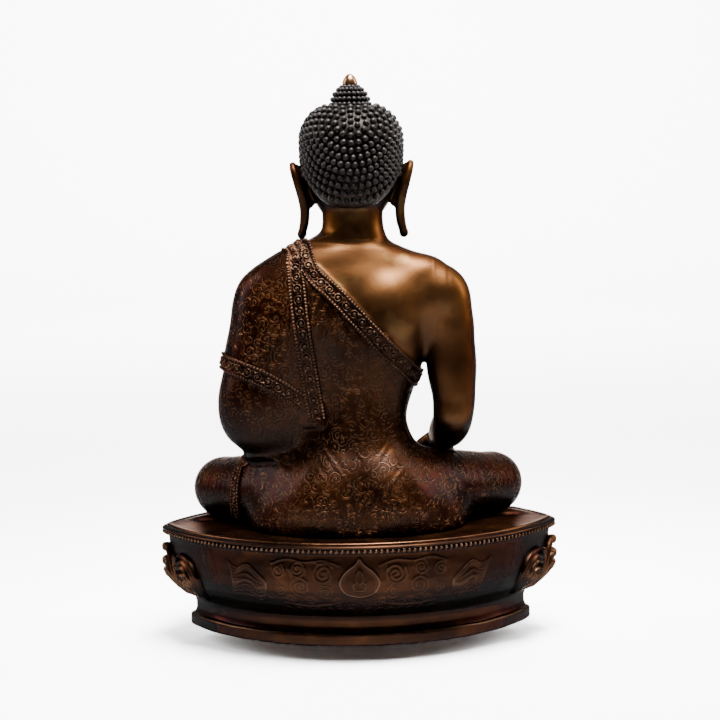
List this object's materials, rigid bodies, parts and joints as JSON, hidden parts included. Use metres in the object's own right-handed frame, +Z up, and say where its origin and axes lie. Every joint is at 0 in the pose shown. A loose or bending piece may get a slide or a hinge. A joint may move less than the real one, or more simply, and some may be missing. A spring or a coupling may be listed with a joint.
{
  "type": "statue",
  "caption": "Seated cast-copper buddha figure, cross-legged, right hand reaching down, on a hollow lens-shaped pedestal with a beaded rim and leaf-scroll corners.",
  "frame": {"origin": "centre of the pedestal's foot, in the plane it stands on", "axes": "+Z up; the figure faces -Y; its left hand is on the +X side"},
  "size_m": [0.2302, 0.158, 0.316],
  "materials": {
    "dark_copper": "satin",
    "blackened_copper": "matte",
    "worn_copper": "satin",
    "polished_copper": "polished",
    "copper_sheet": "satin"
  },
  "bodies": {
    "root": {"pedestal_casting": "dark_copper", "seat_plate": "dark_copper", "bead_border": "worn_copper", "corner_ornament_left": "dark_copper", "corner_ornament_right": "dark_copper", "ornament_rivets": "worn_copper", "bottom_cover": "copper_sheet", "body_casting": "dark_copper", "lug_pins": "worn_copper", "head_casting": "dark_copper", "neck_pin": "worn_copper", "hair_cap": "blackened_copper", "ushnisha_jewel": "polished_copper", "right_arm": "dark_copper", "right_arm_pin": "worn_copper", "left_hand": "dark_copper", "left_hand_pin": "worn_copper"}
  },
  "joints": []
}
